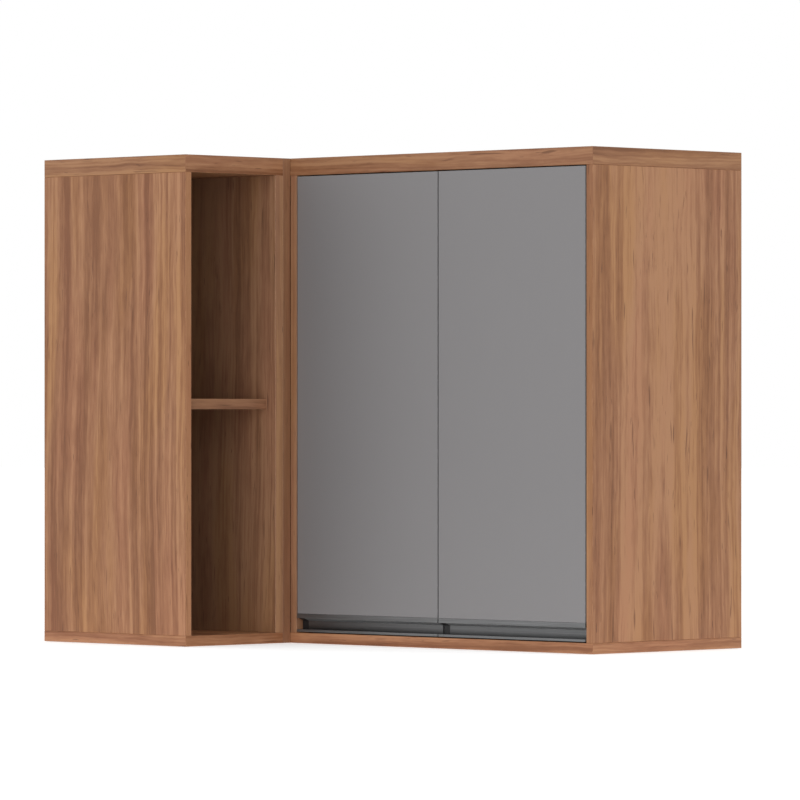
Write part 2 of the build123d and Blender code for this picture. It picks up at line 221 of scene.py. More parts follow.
class Recipe:
    """Adds nodes to one tree and joins them."""

    def __init__(self, tree):
        self.tree = tree

    def feed(self, socket, value):
        if isinstance(value, bpy.types.NodeSocket):
            self.tree.links.new(value, socket)
        else:
            socket.default_value = value

    def node(self, kind, inputs=None, **settings):
        made = self.tree.nodes.new(kind)
        for key, value in settings.items():
            setattr(made, key, value)
        for key, value in (inputs or {}).items():
            self.feed(made.inputs[key], value)
        return made

    def math(self, operation, *values, clamp=False):
        made = self.node("ShaderNodeMath", operation=operation, use_clamp=clamp)
        for socket, value in zip(made.inputs, values):
            self.feed(socket, value)
        return made.outputs[0]

    def vector(self, x, y, z):
        return self.node("ShaderNodeCombineXYZ", {"X": x, "Y": y, "Z": z}).outputs[0]

    def parts(self, vector):
        return self.node("ShaderNodeSeparateXYZ", {"Vector": vector}).outputs

    def stretched(self, parts, scales):
        """The vector of some parts, each times its scale."""
        return self.vector(*(part if scale == 1.0 else self.math("MULTIPLY", part, scale)
                             for part, scale in zip(parts, scales)))

    def noise(self, vector, scale, detail=2.0, roughness=0.5):
        return self.node("ShaderNodeTexNoise", {
            "Vector": vector, "Scale": scale, "Detail": detail,
            "Roughness": roughness}).outputs["Fac"]

    def pick(self, factor, a, b):
        """A number between a and b."""
        made = self.node("ShaderNodeMix", {MIX_FACTOR: factor}, data_type="FLOAT")
        for socket, value in zip(MIX_NUMBERS, (a, b)):
            self.feed(made.inputs[socket], value)
        return made.outputs[0]

    def blend(self, factor, a, b, how="MIX"):
        """A colour between a and b."""
        made = self.node("ShaderNodeMix", {MIX_FACTOR: factor}, data_type="RGBA", blend_type=how)
        for socket, value in zip(MIX_COLOURS, (a, b)):
            fixed = not isinstance(value, bpy.types.NodeSocket)
            self.feed(made.inputs[socket], (*value, 1.0) if fixed else value)
        return made.outputs[MIXED_COLOUR]

    def scaled(self, vector, scale):
        """A colour or a place times a number."""
        return self.node("ShaderNodeVectorMath", {"Vector": vector, "Scale": scale},
                         operation="SCALE").outputs[0]

    def spread(self, value, low, high, to_low=0.0, to_high=1.0):
        """A value between low and high, stretched to another range and held there."""
        return self.node("ShaderNodeMapRange", {
            "Value": value, "From Min": low, "From Max": high,
            "To Min": to_low, "To Max": to_high}, interpolation_type="SMOOTHSTEP").outputs[0]

    def bump(self, height, strength, distance):
        return self.node("ShaderNodeBump", {
            "Height": height, "Strength": strength, "Distance": distance}).outputs[0]


def cleared(data):
    """Recipe for the emptied tree of a new material or world."""
    data.use_nodes = True
    data.node_tree.nodes.clear()
    return Recipe(data.node_tree)


def new_material(name):
    """A material, its recipe and its shader."""
    material = bpy.data.materials.new(name)
    recipe = cleared(material)
    shader = recipe.node("ShaderNodeBsdfPrincipled")
    recipe.node("ShaderNodeOutputMaterial", {"Surface": shader.outputs[0]})
    return material, recipe, shader


def faced(recipe):
    """Position, and one mask for each axis that a flat face looks along."""
    place = recipe.node("ShaderNodeTexCoord")
    masks = []
    for part in recipe.parts(place.outputs["Normal"]):
        masks.append(recipe.math("GREATER_THAN", recipe.math("ABSOLUTE", part), FLAT_NORMAL))
    return recipe.parts(place.outputs["Object"]), masks


def off_flats(recipe, masks):
    """One where no mask of a flat face holds: on rounded and slanting edges."""
    on_x, on_y, on_z = masks
    flat = recipe.math("ADD", recipe.math("ADD", on_x, on_y), on_z)
    return recipe.math("SUBTRACT", 1.0, flat, clamp=True)


def times(colour_value, factor):
    """A colour, darker or lighter by a factor."""
    return [factor * part for part in colour_value]


# ---- Wood grain ----

def wood_group(finishes):
    """Node group that turns (across, along, depth) in metres into the look of sawn walnut.

    Edge is the share of a worn edge, Painted Shade the painted light and shade that set the
    lightness, Calm the share of contrast that is taken away, and Grey Cast the share of grey cast.
    """
    tree = bpy.data.node_groups.new("walnut_grain", "ShaderNodeTree")
    tree.interface.new_socket("Grain", in_out="INPUT", socket_type="NodeSocketVector")
    for name in ("Edge", "Painted Shade", "Calm", "Grey Cast"):
        tree.interface.new_socket(name, in_out="INPUT", socket_type="NodeSocketFloat")
    tree.interface.new_socket("Colour", in_out="OUTPUT", socket_type="NodeSocketColor")
    for name in ("Roughness", "Height"):
        tree.interface.new_socket(name, in_out="OUTPUT", socket_type="NodeSocketFloat")
    recipe = Recipe(tree)
    given = recipe.node("NodeGroupInput").outputs
    across, along, depth = recipe.parts(given["Grain"])

    def marks(way, width, run, shift, detail=1.0, roughness=0.5):
        """Noise of marks of a width and a run in metres, laid along a way through the wood."""
        return recipe.noise(recipe.vector(
            recipe.math("DIVIDE", way, width), recipe.math("DIVIDE", along, run),
            recipe.math("ADD", depth, shift)), 1.0, detail, roughness)

    def off(value, amount, base):
        """The base moved by an even share of a noise to both sides."""
        return recipe.math("MULTIPLY_ADD", recipe.math("SUBTRACT", value, 0.5), amount, base)

    def paint(share, new, strength=1.0):
        """Lay a colour over the one so far, by a share times a strength."""
        if strength != 1.0:
            share = recipe.math("MULTIPLY", share, strength)
        return recipe.blend(share, painted, new)

    # The way across, bent, and the distance from the trunk's heart, which makes the rings
    bent = across
    for width, run, shift, reach in BENDS:
        bent = off(marks(across, width, run, shift), reach, bent)
    heart = off(marks(0.0, 1.0, run=0.55, shift=5.0), finishes.heart_sway, finishes.heart_depth)
    ring = recipe.math("SQRT", recipe.math(
        "ADD", recipe.math("MULTIPLY", bent, bent), recipe.math("MULTIPLY", heart, heart)))
    ring = recipe.math("MULTIPLY_ADD", bent, finishes.heart_lean, ring)

    # Lightness: marks from the widest to the finest, and a paler middle over the heart
    usual = finishes.streak_width
    streaks = marks(ring, usual, run=0.90, shift=7.0, detail=2.0, roughness=0.68)
    zones = marks(ring, usual * 3, run=1.20, shift=13.0)
    lines = marks(bent, usual / 4, run=0.09, shift=11.0, detail=3.0, roughness=0.65)
    threads = marks(bent, 0.0020, run=0.032, shift=15.0, detail=2.0, roughness=0.6)
    fibres = marks(bent, 0.0007, run=0.022, shift=17.0, detail=2.0, roughness=0.6)
    mottle = marks(bent, 0.012, run=0.045, shift=19.0, detail=2.0, roughness=0.6)
    tone = MIDDLE_TONE
    for noise, amount in ((streaks, 1.15), (zones, 0.55), (lines, 0.42), (threads, 0.20),
                          (fibres, 0.14), (mottle, 0.24)):
        tone = off(noise, amount, tone)
    paler = recipe.spread(recipe.math("ABSOLUTE", bent), 0.045, 0.0, 0.0, 0.04)
    tone = recipe.pick(given["Calm"], recipe.math("ADD", tone, paler), MIDDLE_TONE)
    dark, middle, light = finishes.wood_dark, finishes.wood_middle, finishes.wood_light
    painted = recipe.blend(recipe.spread(tone, 0.24, 0.50), dark, middle)
    painted = paint(recipe.spread(tone, 0.44, 0.68), light)

    # Golden and rosy zones, spindles with dark cores, and flecks where pores crowd
    tint = marks(bent, 0.050, run=0.45, shift=31.0, detail=2.0)
    for cast, low, high in ((finishes.golden_cast, 0.48, 0.66), (finishes.rosy_cast, 0.50, 0.34)):
        painted = paint(recipe.spread(tint, low, high),
                        recipe.blend(1.0, painted, cast, "MULTIPLY"))
    spindles = marks(bent, 0.0046, run=0.065, shift=21.0)
    painted = paint(recipe.spread(spindles, 0.68, 0.78), finishes.wood_core, 0.70)
    pores = marks(bent, 0.0016, run=0.026, shift=23.0)
    crowd = marks(ring, 0.018, run=0.16, shift=29.0)
    fleck = recipe.math("MULTIPLY", recipe.spread(pores, 0.68, 0.75),
                        recipe.spread(crowd, 0.52, 0.64))
    painted = paint(fleck, finishes.wood_fleck, 0.75)

    # Edges, darker and rubbed pale in places, then a grey cast and the board's painted light and
    # shade
    rub = marks(bent, 0.006, run=0.02, shift=37.0, detail=3.0, roughness=0.7)
    painted = paint(given["Edge"], dark, 0.35)
    painted = paint(recipe.math("MULTIPLY", given["Edge"], recipe.spread(rub, 0.50, 0.62)),
                    light, 0.55)
    painted = recipe.scaled(paint(given["Grey Cast"], finishes.grey_cast), given["Painted Shade"])

    rough = off(marks(bent, 0.09, run=0.14, shift=41.0, detail=3.0), 0.14, 0.45)
    rough = off(fibres, 0.10, rough)
    rough = recipe.math("MULTIPLY_ADD", fleck, 0.15, rough)
    height = recipe.math("MULTIPLY_ADD", fleck, -0.8, recipe.math("MULTIPLY", fibres, 0.35))
    height = recipe.math("MULTIPLY_ADD", lines, 0.25, height)
    recipe.node("NodeGroupOutput", {"Colour": painted, "Roughness": rough, "Height": height})
    return tree


def niche_painted_shade(recipe, finishes, x):
    """Painted shade on a board in the niche: lighter near the open face, darker deeper in, where
    less light falls.
    """
    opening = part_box("niche_inner_side")[1].x
    return recipe.spread(x, opening, opening - finishes.painted_shade_depth,
                         finishes.painted_shade_front, finishes.painted_shade_deep)


def wood_look(recipe, finishes, node, level, offset):
    """The wood group on a board, its heart near the middle of the board's broad faces."""
    (x, y, z), masks = faced(recipe)
    on_x, on_y, on_z = masks
    low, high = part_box(node)
    middle, size = (low + high) / 2, high - low
    if level:
        along, across = recipe.pick(on_x, x, y), recipe.pick(on_z, z, y)
        depth = recipe.pick(on_x, recipe.pick(on_z, y, z), x)
        broad, heart = on_z, middle.y
    else:
        along, across, depth = z, recipe.pick(on_x, x, y), recipe.pick(on_x, y, x)
        broad, heart = (on_x, middle.y) if size.x < size.y else (on_y, middle.x)
    sideways = HEART_STRAY * math.sin(HEART_TURN * offset) - heart
    across = recipe.math("ADD", across, recipe.pick(broad, NARROW_FACE_SHIFT, sideways))
    along = recipe.math("ADD", along, CUT_STEP_ALONG * offset)
    depth = recipe.math("MULTIPLY_ADD", depth, DEPTH_SCALE, CUT_STEP_DEEP * offset)
    in_niche = node in NICHE_BOARDS
    # The tone input carries painted shade and light: the niche's shade by depth, or the board's
    # lit or shaded lightness
    return recipe.node("ShaderNodeGroup", {
        "Grain": recipe.vector(across, along, depth),
        "Edge": off_flats(recipe, masks),
        "Painted Shade": niche_painted_shade(recipe, finishes, x) if in_niche else PAINTED_LIGHT_AND_SHADE.get(node, 1.0),
        "Calm": 0.0 if level else recipe.pick(broad, NARROW_FACE_CALM, 0.0),
        "Grey Cast": GREY_CASTS.get(node, 0.0)}, node_tree=bpy.data.node_groups["walnut_grain"]).outputs


def wood_board(node, finishes, level, offset):
    """Wood-grain laminate for one board."""
    material, recipe, shader = new_material("wood_" + node)
    look = wood_look(recipe, finishes, node, level, offset)
    recipe.feed(shader.inputs["Base Color"], look["Colour"])
    recipe.feed(shader.inputs["Roughness"], look["Roughness"])
    relief = recipe.bump(look["Height"], strength=0.35, distance=0.00012)
    recipe.feed(shader.inputs["Normal"], relief)
    shader.inputs["Specular IOR Level"].default_value = 0.35
    return material


def hardboard(node, finishes, rear_axis, rear_sign, offset):
    """Thin back: wood-grain print on its face, bare pressed fibre with a screen's mark behind."""
    material, recipe, shader = new_material("hardboard_" + node)
    look = wood_look(recipe, finishes, node, level=False, offset=offset)
    place = recipe.node("ShaderNodeTexCoord").outputs
    looks_to = recipe.parts(place["Normal"])[rear_axis]
    rear = recipe.math("GREATER_THAN", recipe.math("MULTIPLY", looks_to, rear_sign), 0.5)
    point = place["Object"]
    places = recipe.parts(point)
    warp, weft = (recipe.math("SINE", recipe.math("MULTIPLY", part, SCREEN_PITCH))
                  for part in (places[1 - rear_axis], places[2]))
    weave = recipe.math("MULTIPLY", warp, weft)
    clumps = recipe.noise(point, scale=420.0, detail=4.0, roughness=0.7)
    cloud = recipe.noise(point, scale=14.0, detail=3.0)
    base = recipe.blend(recipe.spread(clumps, 0.35, 0.70), finishes.fibre,
                        times(finishes.fibre, 1.5))
    base = recipe.blend(recipe.math("MULTIPLY", recipe.spread(cloud, 0.4, 0.7), 0.4), base,
                        times(finishes.fibre, 0.7))
    recipe.feed(shader.inputs["Base Color"], recipe.blend(rear, look["Colour"], base))
    recipe.feed(shader.inputs["Roughness"], recipe.pick(rear, look["Roughness"], 0.85))
    relief = recipe.pick(rear, look["Height"], recipe.math("MULTIPLY_ADD", weave, 0.4, clumps))
    recipe.feed(shader.inputs["Normal"], recipe.bump(relief, strength=0.4, distance=0.00018))
    return material


def plain_board(name, colour_value):
    """Satin grey laminate with a fine pebbled skin, handled edges and faint cloudiness."""
    material, recipe, shader = new_material(name)
    parts, masks = faced(recipe)
    point = recipe.vector(*parts)
    pebble = recipe.noise(point, scale=2600.0, detail=1.0)
    cloud = recipe.noise(point, scale=5.5, detail=4.0, roughness=0.6)
    smear = recipe.noise(recipe.stretched(parts, (3.0, 1.0, 1.0)), scale=16.0, detail=3.0)
    edge = off_flats(recipe, masks)
    edge_band = recipe.math("MAXIMUM", masks[0], masks[2])
    dark, light = times(colour_value, 0.94), times(colour_value, 1.01)
    base = recipe.blend(recipe.spread(cloud, 0.10, 0.70), times(light, 0.985), light)
    base = recipe.blend(recipe.math("MULTIPLY", pebble, 0.10), base, dark)
    base = recipe.blend(recipe.math("MULTIPLY", edge_band, 0.5), base, dark)
    nicks = recipe.noise(point, scale=120.0, detail=3.0)
    nicks = recipe.math("MULTIPLY", edge, recipe.spread(nicks, 0.5, 0.66))
    base = recipe.blend(recipe.math("MULTIPLY", edge, 0.30), base, (0.10, 0.10, 0.10))
    base = recipe.blend(recipe.math("MULTIPLY", nicks, 0.5), base, times(colour_value, 1.5))
    recipe.feed(shader.inputs["Base Color"], base)
    rough = recipe.math("MULTIPLY_ADD", smear, 0.12, 0.36)
    recipe.feed(shader.inputs["Roughness"], recipe.math("MULTIPLY_ADD", pebble, 0.08, rough))
    recipe.feed(shader.inputs["Normal"], recipe.bump(pebble, strength=0.12, distance=0.00006))
    shader.inputs["Specular IOR Level"].default_value = 0.4
    return material


# ---- Metals ----

def recess_painted_shade(recipe, sizes, y, z):
    """Painted shade and light in the grip's recess: darker towards its floor, brighter under its
    ceiling.
    """
    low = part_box("left_grip")[0]
    front, back = low.y + sizes.grip_wall, low.y + sizes.grip_depth - sizes.grip_wall / 2
    roof = low.z + sizes.recess_top - sizes.recess_fall
    inside = recipe.math("MULTIPLY", recipe.math("GREATER_THAN", y, front + PLAY),
                         recipe.math("LESS_THAN", y, back))
    tone = recipe.spread(z, low.z + sizes.shade_start, low.z + sizes.shade_end,
                         sizes.floor_painted_shade, sizes.wall_painted_shade)
    tone = recipe.pick(recipe.math("GREATER_THAN", z, roof + PLAY), tone, sizes.ceiling_painted_light)
    return recipe.pick(inside, 1.0, tone)


def anodised(name, colour_value, sizes):
    """Dark anodised aluminium, drawn lengthwise, with bright rubbed corners and painted shade and
    light in its recess.
    """
    material, recipe, shader = new_material(name)
    parts, masks = faced(recipe)
    x, y, z = parts
    drawn = recipe.noise(recipe.stretched(parts, (9.0, 2400.0, 2400.0)),
                         scale=1.0, detail=2.0, roughness=0.6)
    wide = recipe.noise(recipe.stretched(parts, (2.5, 160.0, 160.0)), scale=1.0, detail=2.0)
    touched = recipe.noise(recipe.vector(x, y, z), scale=28.0, detail=3.0, roughness=0.6)
    sawn = recipe.noise(recipe.stretched(parts, (1.0, 60.0, 900.0)), scale=1.0, detail=1.0)
    base = recipe.blend(recipe.spread(drawn, 0.30, 0.72), times(colour_value, 0.72),
                        times(colour_value, 1.30))
    base = recipe.blend(recipe.math("MULTIPLY", wide, 0.45), base, colour_value)
    rubbed = recipe.math("MULTIPLY", off_flats(recipe, masks), recipe.spread(touched, 0.45, 0.65))
    base = recipe.blend(recipe.math("MULTIPLY", rubbed, 0.6), base, (0.42, 0.42, 0.42))
    base = recipe.blend(recipe.math("MULTIPLY", masks[0], sawn), base, (0.50, 0.50, 0.50))
    # Inside the recess the colour is scaled by painted shade and light
    recipe.feed(shader.inputs["Base Color"], recipe.scaled(base, recess_painted_shade(recipe, sizes, y, z)))
    recipe.feed(shader.inputs["Roughness"], recipe.math(
        "MULTIPLY_ADD", drawn, 0.16, recipe.math("MULTIPLY_ADD", touched, 0.12, 0.30)))
    recipe.feed(shader.inputs["Normal"], recipe.bump(drawn, strength=0.18, distance=0.00004))
    shader.inputs["Metallic"].default_value = 0.78
    return material


def plated(name, colour_value, roughness, stamped):
    """Plated metal with small scratches, dull patches and a share of rolling lines."""
    material, recipe, shader = new_material(name)
    point = recipe.node("ShaderNodeTexCoord").outputs["Object"]
    x, y, z = recipe.parts(point)
    rolled = recipe.noise(recipe.stretched((x, y, z), (900.0, 60.0, 1500.0)),
                          scale=1.0, detail=2.0)
    scratch = recipe.node("ShaderNodeTexVoronoi", {
        "Vector": recipe.vector(recipe.math("ADD", x, y), recipe.math("MULTIPLY", z, 0.18), y),
        "Scale": 700.0}, feature="DISTANCE_TO_EDGE").outputs[0]
    scratch = recipe.spread(scratch, 0.06, 0.0)
    dull = recipe.noise(point, scale=110.0, detail=4.0, roughness=0.65)
    grime = recipe.noise(point, scale=45.0, detail=3.0)
    dark = times(colour_value, 0.62)
    base = recipe.blend(recipe.spread(dull, 0.35, 0.75), colour_value, dark)
    base = recipe.blend(recipe.math("MULTIPLY", recipe.spread(grime, 0.52, 0.72), 0.35), base,
                        (0.16, 0.14, 0.11))
    lines = recipe.math("MULTIPLY", rolled, stamped)
    base = recipe.blend(recipe.math("MULTIPLY", lines, 0.25), base, dark)
    recipe.feed(shader.inputs["Base Color"], base)
    rough = recipe.math("MULTIPLY_ADD", dull, 0.22, roughness)
    rough = recipe.math("MULTIPLY_ADD", scratch, 0.10, rough)
    recipe.feed(shader.inputs["Roughness"], recipe.math("MULTIPLY_ADD", lines, 0.08, rough))
    relief = recipe.math("MULTIPLY_ADD", scratch, -0.5, rolled)
    recipe.feed(shader.inputs["Normal"], recipe.bump(relief, strength=0.12, distance=0.00003))
    shader.inputs["Metallic"].default_value = 1.0
    return material


def beech_wood(name, colour_value):
    """Beech with fine grain and small rays."""
    material, recipe, shader = new_material(name)
    parts = recipe.parts(recipe.node("ShaderNodeTexCoord").outputs["Object"])
    grain = recipe.noise(recipe.stretched(parts, (1400.0, 60.0, 1400.0)), scale=1.0, detail=3.0)
    rays = recipe.noise(recipe.stretched(parts, (700.0, 350.0, 700.0)), scale=1.0, detail=1.0)
    base = recipe.blend(recipe.spread(grain, 0.3, 0.7), times(colour_value, 0.75), colour_value)
    base = recipe.blend(recipe.spread(rays, 0.66, 0.75), base, times(colour_value, 0.5))
    recipe.feed(shader.inputs["Base Color"], base)
    recipe.feed(shader.inputs["Roughness"], recipe.math("MULTIPLY_ADD", grain, 0.2, 0.55))
    recipe.feed(shader.inputs["Normal"], recipe.bump(grain, strength=0.4, distance=0.0001))
    return material


def dress(node, material):
    """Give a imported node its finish."""
    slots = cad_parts[node].material_slots
    if not slots:
        raise RuntimeError(f"{node} has no material slot")
    for slot in slots:
        slot.material = material


# ---- Screws ----

def screw_tree(material):
    """Tree that stands a pan-head screw with a cross recess on every point, along its facing."""
    tree = bpy.data.node_groups.new("hinge_screws", "GeometryNodeTree")
    tree.interface.new_socket("Geometry", in_out="INPUT", socket_type="NodeSocketGeometry")
    for name in ("Head Radius", "Head Height", "Recess Width", "Recess Depth"):
        tree.interface.new_socket(name, in_out="INPUT", socket_type="NodeSocketFloat")
    tree.interface.new_socket("Head Sides", in_out="INPUT", socket_type="NodeSocketInt")
    tree.interface.new_socket("Geometry", in_out="OUTPUT", socket_type="NodeSocketGeometry")
    recipe = Recipe(tree)
    node, vector = recipe.node, recipe.vector
    given = node("NodeGroupInput").outputs
    radius, height = given["Head Radius"], given["Head Height"]

    # A low cylinder, then three steps that draw its top in to a rounded pan head
    head = node("GeometryNodeMeshCylinder", {
        "Vertices": given["Head Sides"], "Radius": radius,
        "Depth": recipe.math("MULTIPLY", height, HEAD_WALL)}, fill_type="NGON")
    lifted = node("GeometryNodeTransform", {
        "Geometry": head.outputs["Mesh"],
        "Translation": vector(0.0, 0.0, recipe.math("MULTIPLY", height, HEAD_WALL / 2))})
    shape, top = lifted.outputs[0], head.outputs["Top"]
    for rise, spread in HEAD_STEPS:
        pulled = node("GeometryNodeExtrudeMesh", {
            "Mesh": shape, "Selection": top, "Offset": vector(0.0, 0.0, 1.0),
            "Offset Scale": recipe.math("MULTIPLY", height, rise)}, mode="FACES")
        drawn_in = node("GeometryNodeScaleElements", {
            "Geometry": pulled.outputs["Mesh"], "Selection": pulled.outputs["Top"],
            "Scale": spread})
        shape, top = drawn_in.outputs[0], pulled.outputs["Top"]

    # Two crossed bars, sunk halfway into the top, cut the recess
    long, narrow = recipe.math("MULTIPLY", radius, RECESS_LENGTH), given["Recess Width"]
    deep = recipe.math("MULTIPLY", given["Recess Depth"], 2.0)
    for size in (vector(long, narrow, deep), vector(narrow, long, deep)):
        bar = node("GeometryNodeTransform", {
            "Geometry": node("GeometryNodeMeshCube", {"Size": size}).outputs[0],
            "Translation": vector(0.0, 0.0, height)})
        shape = node("GeometryNodeMeshBoolean", {"Mesh 1": shape, "Mesh 2": bar.outputs[0]},
                     operation="DIFFERENCE", solver="EXACT").outputs[0]

    facing = node("GeometryNodeInputNamedAttribute", {"Name": "facing"},
                  data_type="FLOAT_VECTOR")
    turn = node("FunctionNodeAlignRotationToVector", {"Vector": facing.outputs[0]}, axis="Z")
    stood = node("GeometryNodeInstanceOnPoints", {
        "Points": given["Geometry"], "Instance": shape, "Rotation": turn.outputs[0]})
    real = node("GeometryNodeRealizeInstances", {"Geometry": stood.outputs[0]})
    finished = node("GeometryNodeSetMaterial", {
        "Geometry": real.outputs[0], "Material": material})
    node("NodeGroupOutput", {"Geometry": finished.outputs[0]})
    return tree


def linked(name, data):
    """A new object of some data, in the scene."""
    made = bpy.data.objects.new(name, data)
    bpy.context.scene.collection.objects.link(made)
    return made


def point_cloud(name, points):
    """Loose vertices at the given places, each with the way its screw looks."""
    places, ways = zip(*points)
    mesh = bpy.data.meshes.new(name)
    mesh.from_pydata(places, [], [])
    facing = mesh.attributes.new("facing", "FLOAT_VECTOR", "POINT")
    for item, way in zip(facing.data, ways):
        item.vector = way
    return linked(name, mesh)


def grown(name, points, tree, values):
    """The mesh that a tree makes of the points, as a plain object."""
    source = point_cloud(name + "_points", points)
    modifier = source.modifiers.new("shape", "NODES")
    modifier.node_group = tree
    for socket in tree.interface.items_tree:
        if socket.in_out == "INPUT" and socket.name in values:
            modifier[socket.identifier] = values[socket.name]
    graph = bpy.context.evaluated_depsgraph_get()
    mesh = bpy.data.meshes.new_from_object(source.evaluated_get(graph), depsgraph=graph)
    if not mesh.polygons:
        raise RuntimeError(f"{name} has no faces")
    mesh.name = name
    source.modifiers.clear()
    bpy.data.objects.remove(source)
    return linked(name, mesh)


def hinge_centres(side):
    """Heights of one door's hinges, from the ends of its cups."""
    low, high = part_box(side + "_hinge_cups")
    return low.z + CUP_REACH, high.z - CUP_REACH


def cup_screw_points(side):
    """Screws in the ears of the cups."""
    low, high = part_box(side + "_hinge_cups")
    x = high.x - CUP_SCREW_INSET if side == "left" else low.x + CUP_SCREW_INSET
    return [((x, high.y, centre + step), (0.0, 1.0, 0.0))
            for centre in hinge_centres(side) for step in (-CUP_SCREW_STEP, CUP_SCREW_STEP)]


def plate_screw_points(side):
    """Screws on the wings of the mounting plates."""
    low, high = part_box(side + "_hinge_plates")
    x = low.x + PLATE_SCREW_INSET if side == "left" else high.x - PLATE_SCREW_INSET
    return [((x, PLATE_SCREW_Y, centre + step), FROM_SIDE_PANEL[side])
            for centre in hinge_centres(side) for step in (-PLATE_SCREW_STEP, PLATE_SCREW_STEP)]


def arm_screw_points(side):
    """Fixing screw and adjusting screw on each arm's web."""
    low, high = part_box(side + "_hinge_plates")
    x = high.x + ARM_SCREW_LIFT if side == "left" else low.x - ARM_SCREW_LIFT
    return [((x, y, centre), FROM_SIDE_PANEL[side])
            for centre in hinge_centres(side) for y in ARM_SCREW_YS]


# ---- End plugs of the grip profiles ----

def plug_section(sizes):
    """Outline of an end plug, as (depth behind the front, height): a liner round the recess."""
    depth, height, wall = sizes.grip_depth, sizes.grip_height, sizes.grip_wall
    front, back, inner = wall + PLAY, depth - PLAY, depth - wall
    floor, roof = wall + PLAY, height - wall - PLAY
    return [(front, floor), (back, floor), (back, roof), (front, roof),
            (front, sizes.recess_top), (inner, sizes.recess_top - sizes.recess_fall),
            (inner, floor + sizes.plug_wall), (front, floor + sizes.plug_wall)]


def end_plug(name, side, sizes, material):
    """Moulded plug in the cut-back at the left end of a grip profile."""
    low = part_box(side + "_grip")[0]
    start, end = low.x + 2 * PLAY, low.x + sizes.plug_length
    mesh = bmesh.new()
    rings = [[mesh.verts.new((x, low.y + depth, low.z + height))
              for depth, height in plug_section(sizes)] for x in (start, end)]
    first, last = rings
    count = len(first)
    mesh.faces.new(first)
    mesh.faces.new(last[::-1])
    for here in range(count):
        ahead = (here + 1) % count
        mesh.faces.new([first[ahead], first[here], last[here], last[ahead]])
    bmesh.ops.recalc_face_normals(mesh, faces=mesh.faces)
    bmesh.ops.bevel(mesh, geom=mesh.edges[:], offset=sizes.plug_round, segments=2,
                    profile=0.5, affect="EDGES")
    data = bpy.data.meshes.new(name)
    mesh.to_mesh(data)
    mesh.free()
    data.materials.append(material)
    return linked(name, data)


def moulded(name, colour_value):
    """Dark moulded nylon with a faint sparkle and greasy touched spots."""
    material, recipe, shader = new_material(name)
    point = recipe.node("ShaderNodeTexCoord").outputs["Object"]
    skin = recipe.noise(point, scale=2400.0, detail=2.0)
    touched = recipe.noise(point, scale=160.0, detail=3.0, roughness=0.6)
    base = recipe.blend(recipe.spread(skin, 0.35, 0.70), colour_value, times(colour_value, 1.6))
    recipe.feed(shader.inputs["Base Color"], base)
    recipe.feed(shader.inputs["Roughness"], recipe.math("MULTIPLY_ADD", touched, 0.22, 0.42))
    recipe.feed(shader.inputs["Normal"], recipe.bump(skin, strength=0.25, distance=0.00004))
    return material


# ---- Operators ----

class CABINET_OT_boards(bpy.types.Operator):
    """Finish the boards with wood-grain laminate"""
    bl_idname = "cabinet.boards"
    bl_label = "Finish Boards"

    def execute(self, context):
        finishes = context.scene.cabinet_finishes
        wood_group(finishes)
        for first, boards, level in ((FIRST_UPRIGHT_CUT, UPRIGHT_BOARDS, False),
                                     (FIRST_LEVEL_CUT, LEVEL_BOARDS, True)):
            for place, name in enumerate(boards):
                offset = CUTS.get(name, first + place)
                dress(name, wood_board(name, finishes, level, offset))
        return {"FINISHED"}


class CABINET_OT_backs(bpy.types.Operator):
    """Finish the thin backs"""
    bl_idname = "cabinet.backs"
    bl_label = "Finish Backs"

    def execute(self, context):
        finishes = context.scene.cabinet_finishes
        for name, rear_axis, rear_sign, offset in (
                ("main_back_panel", 1, 1.0, MAIN_BACK_CUT),
                ("niche_back_panel", 0, -1.0, NICHE_BACK_CUT)):
            dress(name, hardboard(name, finishes, rear_axis, rear_sign, offset))
        return {"FINISHED"}


class CABINET_OT_doors(bpy.types.Operator):
    """Finish the doors and their grip profiles"""
    bl_idname = "cabinet.doors"
    bl_label = "Finish Doors"

    def execute(self, context):
        finishes = context.scene.cabinet_finishes
        board = plain_board("satin_grey_board", finishes.door_grey)
        profile = anodised("anodised_profile", finishes.grip_grey, context.scene.cabinet_plugs)
        for side in SIDES:
            dress(side + "_door", board)
            dress(side + "_grip", profile)
        return {"FINISHED"}


class CABINET_OT_hinges(bpy.types.Operator):
    """Finish the hinges, shelf pins and dowels"""
    bl_idname = "cabinet.hinges"
    bl_label = "Finish Hinges"

    def execute(self, context):
        finishes = context.scene.cabinet_finishes
        cast = plated("cast_nickel", finishes.nickel, roughness=0.20, stamped=0.0)
        stamped = plated("stamped_nickel", finishes.nickel, roughness=0.26, stamped=1.0)
        steel = plated("turned_steel", times(finishes.nickel, 0.8), roughness=0.30, stamped=1.0)
        for side in SIDES:
            dress(side + "_hinge_cups", cast)
            dress(side + "_hinge_arms", stamped)
            dress(side + "_hinge_plates", stamped)
            dress(side + "_hinge_pins", steel)
        dress("shelf_pins", steel)
        dress("niche_shelf_dowels", beech_wood("beech", finishes.beech))
        return {"FINISHED"}


class CABINET_OT_screws(bpy.types.Operator):
    """Stand the screws on the hinge cups, plates and arms"""
    bl_idname = "cabinet.screws"
    bl_label = "Add Hinge Screws"

    def execute(self, context):
        finishes, sizes = context.scene.cabinet_finishes, context.scene.cabinet_fittings
        tree = screw_tree(plated("zinc_plate", finishes.zinc, roughness=0.24, stamped=0.0))
        values = {"Head Radius": sizes.head_radius, "Head Height": sizes.head_height,
                  "Recess Width": sizes.recess_width, "Recess Depth": sizes.recess_depth,
                  "Head Sides": sizes.head_sides}
        groups, fixed = [], []
        for side in SIDES:
            groups.append((side + "_cup_screws", cup_screw_points(side), side + "_door_leaf"))
            fixed += plate_screw_points(side) + arm_screw_points(side)
        groups.append(("hinge_plate_screws", fixed, "carcass"))
        for name, points, body in groups:
            screws = grown(name, points, tree, values)
            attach(screws, body)
        return {"FINISHED"}


